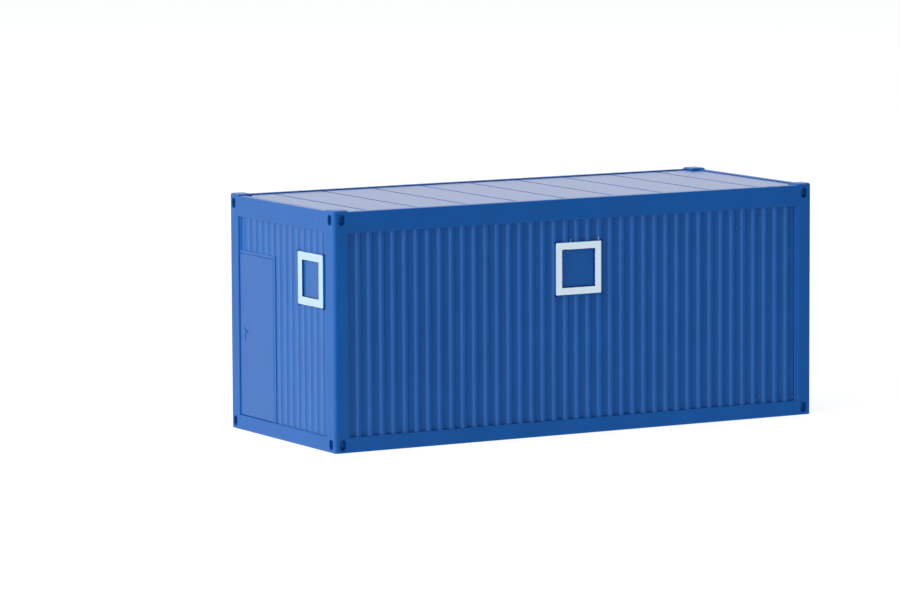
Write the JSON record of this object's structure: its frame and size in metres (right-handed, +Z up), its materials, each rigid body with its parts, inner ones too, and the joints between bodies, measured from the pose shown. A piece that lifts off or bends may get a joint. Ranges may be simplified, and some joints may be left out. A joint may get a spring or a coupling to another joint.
{
  "type": "scale model site container",
  "caption": "Small moulded plastic scale model of a site office container: ribbed walls in a rail and post frame, corner fittings, flat seamed roof, square framed windows and a closed door.",
  "frame": {"origin": "centre of the footprint at the floor", "axes": "+X along the length away from the door end, +Y towards the back long side, +Z up; the door end is at -X"},
  "size_m": [0.0696, 0.028, 0.03],
  "materials": {
    "frame": "satin",
    "wall": "satin",
    "door": "satin",
    "roof": "satin",
    "base": "satin",
    "pane": "gloss",
    "window_print": "matte"
  },
  "bodies": {
    "root": {"back_bottom_rail": "frame", "back_top_rail": "frame", "back_wall": "wall", "back_window_frame": "window_print", "back_window_pane": "pane", "base_plate": "base", "bottom_fitting_door_back": "frame", "bottom_fitting_door_front": "frame", "bottom_fitting_plain_back": "frame", "bottom_fitting_plain_front": "frame", "corner_post_door_back": "frame", "corner_post_door_front": "frame", "corner_post_plain_back": "frame", "corner_post_plain_front": "frame", "door_end_bottom_rail": "frame", "door_end_top_rail": "frame", "door_frame": "door", "door_handle": "door", "door_header_wall": "wall", "door_leaf": "door", "door_side_wall": "wall", "end_window_frame": "window_print", "end_window_pane": "pane", "front_bottom_rail": "frame", "front_top_rail": "frame", "front_wall": "wall", "front_window_frame": "window_print", "front_window_pane": "pane", "handle_plate": "door", "plain_end_bottom_rail": "frame", "plain_end_top_rail": "frame", "plain_end_wall": "wall", "roof_panel": "roof", "top_fitting_door_back": "frame", "top_fitting_door_front": "frame", "top_fitting_plain_back": "frame", "top_fitting_plain_front": "frame"}
  },
  "joints": []
}
